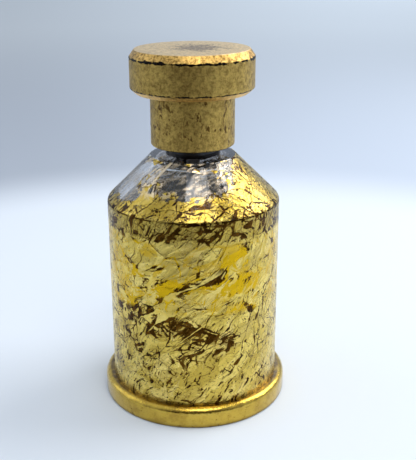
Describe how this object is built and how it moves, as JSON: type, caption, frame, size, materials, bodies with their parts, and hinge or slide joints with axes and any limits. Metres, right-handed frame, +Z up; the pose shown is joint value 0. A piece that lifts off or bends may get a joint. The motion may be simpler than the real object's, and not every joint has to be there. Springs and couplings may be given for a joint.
{
  "type": "glass spray flacon",
  "caption": "Round glass perfume flacon with broken gold leaf, a conical shoulder, a wide foot ring, a crimped spray pump and a pull-off mushroom cap.",
  "frame": {"origin": "centre of the circle the foot ring stands on", "axes": "+Z up along the flacon's axis, -Y towards the nozzle and the front"},
  "size_m": [0.062, 0.062, 0.1159],
  "materials": {
    "clear_glass": "polished clear flint glass",
    "leaf_gold": "broken gold leaf under clear varnish",
    "foot_gold": "gilded, polished",
    "perfume": "clear amber liquid",
    "cap_gold": "gilded over a black ground, worn at the edges",
    "dark_collar": "glossy black lacquer",
    "ferrule_metal": "satin",
    "gasket_rubber": "matte",
    "pump_white": "moulded",
    "tube_clear": "clear extruded",
    "stem_natural": "moulded",
    "piston_soft": "soft moulded",
    "spring_steel": "drawn wire",
    "ball_steel": "polished",
    "button_white": "moulded",
    "button_gold": "gold anodised, satin",
    "nozzle_black": "moulded",
    "liner_black": "moulded"
  },
  "bodies": {
    "bottle": {"glass_bottle": "clear_glass", "gold_leaf": "leaf_gold", "foot_ring": "foot_gold", "perfume": "perfume", "crimp_ferrule": "ferrule_metal", "collar_sleeve": "dark_collar", "neck_gasket": "gasket_rubber", "pump_housing": "pump_white", "pump_turret": "pump_white", "stem_gasket": "gasket_rubber", "dip_tube": "tube_clear"},
    "stem": {"pump_stem": "stem_natural", "pump_piston": "piston_soft", "stem_plug": "stem_natural", "main_spring": "spring_steel"},
    "actuator": {"actuator_core": "button_white", "actuator_shell": "button_gold", "nozzle_insert": "nozzle_black"},
    "ball": {"valve_ball": "ball_steel"},
    "cap": {"cap_shell": "cap_gold", "cap_liner": "liner_black"}
  },
  "joints": [
    {"name": "pump_stroke", "type": "slide", "parent": "bottle", "child": "stem", "axis": [0, 0, -1], "range_m": [0, 0.0045], "stiffness_N_per_m": 1200, "springref_m": -0.006, "deforming": ["main_spring"]},
    {"name": "button_turn", "type": "hinge", "parent": "stem", "child": "actuator", "pos_m": [0, 0, 0.1], "axis": [0, 0, 1], "continuous": true},
    {"name": "ball_lift", "type": "slide", "parent": "bottle", "child": "ball", "axis": [0, 0, 1], "range_m": [0, 0.0008]},
    {"name": "cap_pull", "type": "slide", "parent": "bottle", "child": "cap", "axis": [0, 0, 1], "range_m": [0, 0.03]}
  ]
}
